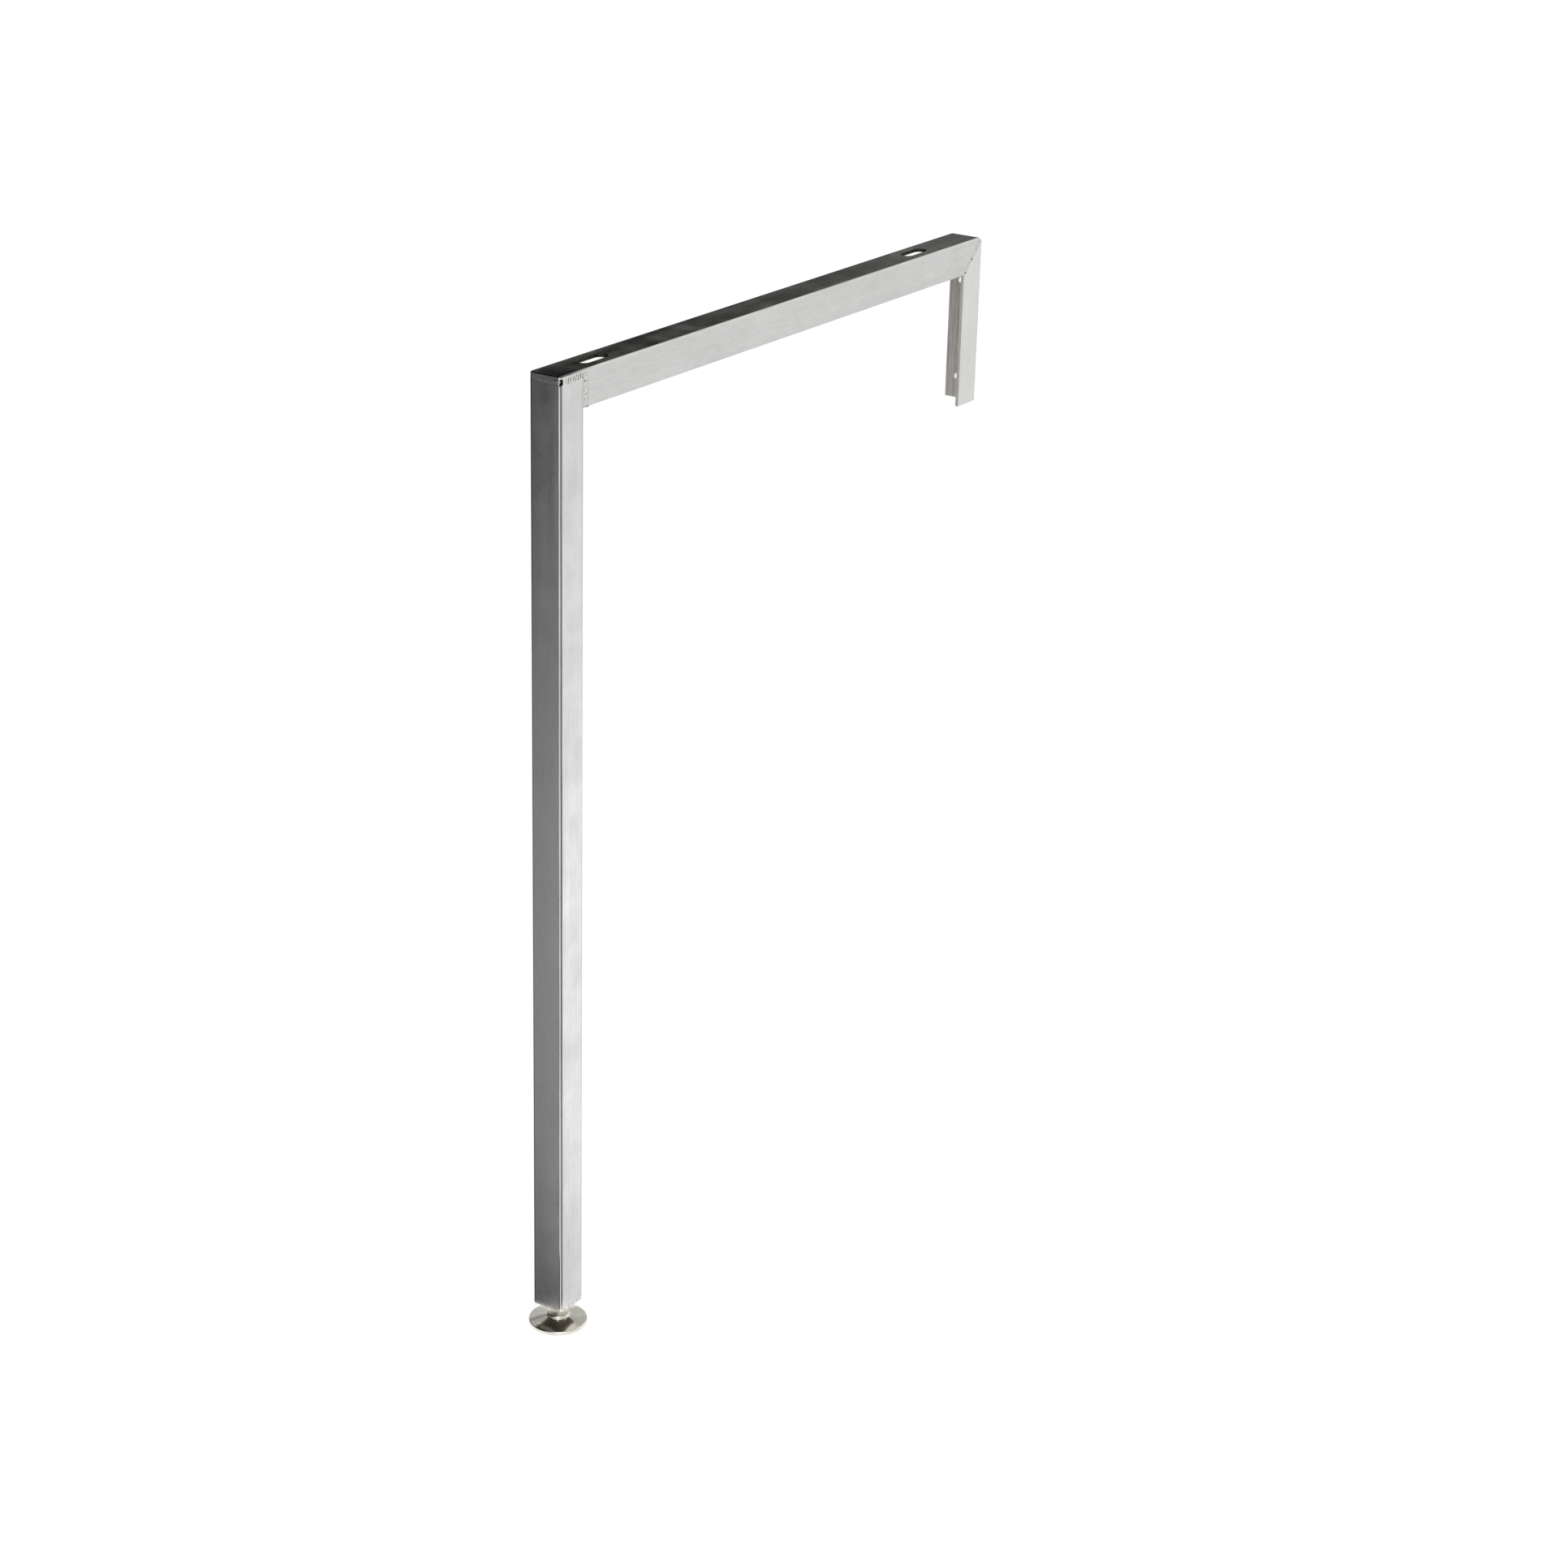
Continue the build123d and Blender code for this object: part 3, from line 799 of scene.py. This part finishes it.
# %% Mitre weld
MITRE_START = Vector((HALF / MM, ARM_FRONT / MM + 0.9, BAR_BOTTOM / MM + 0.9))
MITRE_RUN = 37.2
MITRE_SIDE = 2.7
DROP_PITCH = 2.2
DROP_HALF_WIDTH = 1.95
MITRE_PITS = ((16.0, 0.3, 0.95), (0.9, 0.4, 0.9), (27.5, -0.7, 0.5))


def mitre_place(u, v):
    """A point of the side flange near the mitre."""
    along = Vector((0, 1, 1)).normalized() * (u * MITRE_RUN)
    across = Vector((0, -1, 1)).normalized() * ((2 * v - 1) * MITRE_SIDE)
    return MITRE_START + along + across, Vector((1, 0, 0))


def mitre_relief(u, v):
    """Height and oxide of the string of drops."""
    along = u * MITRE_RUN
    across = (2 * v - 1) * MITRE_SIDE + 0.12 * grain_noise(along / 3, 1.7, 2.2)
    half = DROP_HALF_WIDTH + 0.2 * grain_noise(along / 2, 5.5, 0.4)
    ends = smooth(along / 1.2) * smooth((MITRE_RUN - along) / 1.2)
    dome = math.sqrt(max(0.0, 1 - (across / half) ** 2)) * ends
    drop = abs(math.cos(math.pi * (along + 0.16 * across ** 2) / DROP_PITCH))
    height = -SUNK + dome * (SUNK + 0.38 + 0.36 * drop)
    valley = 0.6 * (1 - drop) ** 4
    rim = 0.3 * math.exp(-((half - abs(across) - 0.1) / 0.2) ** 2)
    pit = spots(MITRE_PITS, along, across)
    return height - 0.4 * pit, valley + rim + pit


lay_weld("mitre_weld", "mitre_bead", 170, 24, mitre_place, mitre_relief, 0.6 * MM)

# %% [markdown]
# ## The foot
#
# The plate keeps its turned shape, and only the walls of its screw holes are paler. The
# insert has two finishes, its blasted rim and the sawn face under the leg.

# %% Plate and insert
PLATE_EDGE = 0.2 * MM
INSERT_EDGE = 0.3 * MM
# The plate's screw holes lie between these distances from its axis.
HOLES_FROM, HOLES_TO = 15 * MM, 23 * MM

shape = merged_copy("foot_plate")
ease_edges(shape, PLATE_EDGE)
for face in shape.faces:
    spread = face.calc_center_median().xy.length
    drilled = abs(face.normal.z) < 0.3 and HOLES_FROM < spread < HOLES_TO
    face.material_index = 1 if drilled else 0
finished(shape, "turned_foot_plate", ["foot_plate"], "plate",
         [turned_nickel, blasted_nickel])

shape = merged_copy("foot_insert")
ease_edges(shape, INSERT_EDGE)
for face in shape.faces:
    face.material_index = 1 if face.normal.z < -0.9 else 0
finished(shape, "threaded_insert", ["foot_insert"], "frame",
         [blasted_nickel, sawn_nickel])

# %% [markdown]
# The spindle's stud is a plain bar in the CAD model, so it is cut off above the hexagon and
# gets a real thread: one turn's outline, spun round the axis while it climbs, whose turns
# meet and are merged. The thread shows when the foot is screwed out. The hexagon reaches
# 0.22 mm further down than in the CAD model, so that no dark gap shows above the collar.

# %% Thread
THREAD_PITCH = 1.5 * MM
THREAD_TOP = 5.0 * MM
THREAD_ROOT = 4.08 * MM
THREAD_STEPS = 40
# The outline of one turn, as shares of the pitch and distances from the axis.
THREAD_OUTLINE = ((0, THREAD_ROOT), (0.12, THREAD_ROOT), (0.44, THREAD_TOP), (0.56, THREAD_TOP),
                  (0.88, THREAD_ROOT), (1.0, THREAD_ROOT))
STUD_CHAMFER = 1.0 * MM
HEXAGON_GAP = 0.3 * MM
HEXAGON_TOP = rim_low.z - HEXAGON_GAP
# How deep the thread's lower end sits in the hexagon.
THREAD_SEAT = 0.3 * MM


def cut_level(shape, height, keep_below):
    """Cuts a shape level, drops one side and closes the cut."""
    cut = bmesh.ops.bisect_plane(shape, geom=shape.verts[:] + shape.edges[:] + shape.faces[:],
                                 dist=MERGE, plane_co=(0, 0, height), plane_no=(0, 0, 1),
                                 clear_outer=keep_below, clear_inner=not keep_below)
    rim = [g for g in cut["geom_cut"] if isinstance(g, bmesh.types.BMEdge) and g.is_boundary]
    bmesh.ops.contextual_create(shape, geom=rim)


thread = bmesh.new()
start = HEXAGON_TOP - 2.5 * THREAD_PITCH
turns = math.ceil((stud_high.z - start) / THREAD_PITCH) + 2
outline = [thread.verts.new((r, 0, start + share * THREAD_PITCH))
           for share, r in THREAD_OUTLINE]
edges = [thread.edges.new(pair) for pair in zip(outline, outline[1:])]
bmesh.ops.spin(thread, geom=outline + edges, cent=(0, 0, 0), axis=(0, 0, 1),
               dvec=(0, 0, THREAD_PITCH / THREAD_STEPS), angle=math.tau * turns,
               steps=THREAD_STEPS * turns, use_merge=False, use_duplicate=False)
bmesh.ops.remove_doubles(thread, verts=thread.verts, dist=0.01 * MM)
cut_level(thread, HEXAGON_TOP - THREAD_SEAT, keep_below=False)
cut_level(thread, stud_high.z, keep_below=True)
for vertex in thread.verts:
    reach = THREAD_TOP - max(0.0, vertex.co.z - (stud_high.z - STUD_CHAMFER))
    across = vertex.co.xy.length
    if across > reach:
        vertex.co.xy *= reach / across
bmesh.ops.recalc_face_normals(thread, faces=thread.faces)
print("thread:", turns, "turns, open edges", sum(e.is_boundary for e in thread.edges))
thread_mesh = bpy.data.meshes.new("thread_part")
thread.to_mesh(thread_mesh)
thread.free()

# %% Spindle
HEXAGON_EDGE = 0.15 * MM
HEXAGON_DROP = 0.22 * MM
# Only the hexagon reaches further from the axis than this.
HEXAGON_INSIDE = 8 * MM
# The cut is just above the hexagon's top, and the lower face is found within these.
CUT_ABOVE = 0.05 * MM
FACE_ABOVE, FACE_BELOW = 0.01 * MM, 0.5 * MM

shape = merged_copy("foot_spindle")
cut_level(shape, HEXAGON_TOP + CUT_ABOVE, keep_below=True)
hexagon_low = min(v.co.z for v in shape.verts if v.co.xy.length > HEXAGON_INSIDE)
for vertex in shape.verts:
    if hexagon_low - FACE_BELOW < vertex.co.z < hexagon_low + FACE_ABOVE:
        vertex.co.z -= HEXAGON_DROP
ease_edges(shape, HEXAGON_EDGE)
print("hexagon: open edges", sum(e.is_boundary for e in shape.edges))
shape.from_mesh(thread_mesh)
finished(shape, "hexagon_spindle", ["foot_spindle"], "spindle", [milled_nickel])

# %% [markdown]
# ## Colour view
#
# The dressed part has to stay inside the CAD model's box. The Standard view shows the
# colours as they are, without the look of film.

# %% Colour view
bpy.context.scene.view_settings.view_transform = "Standard"
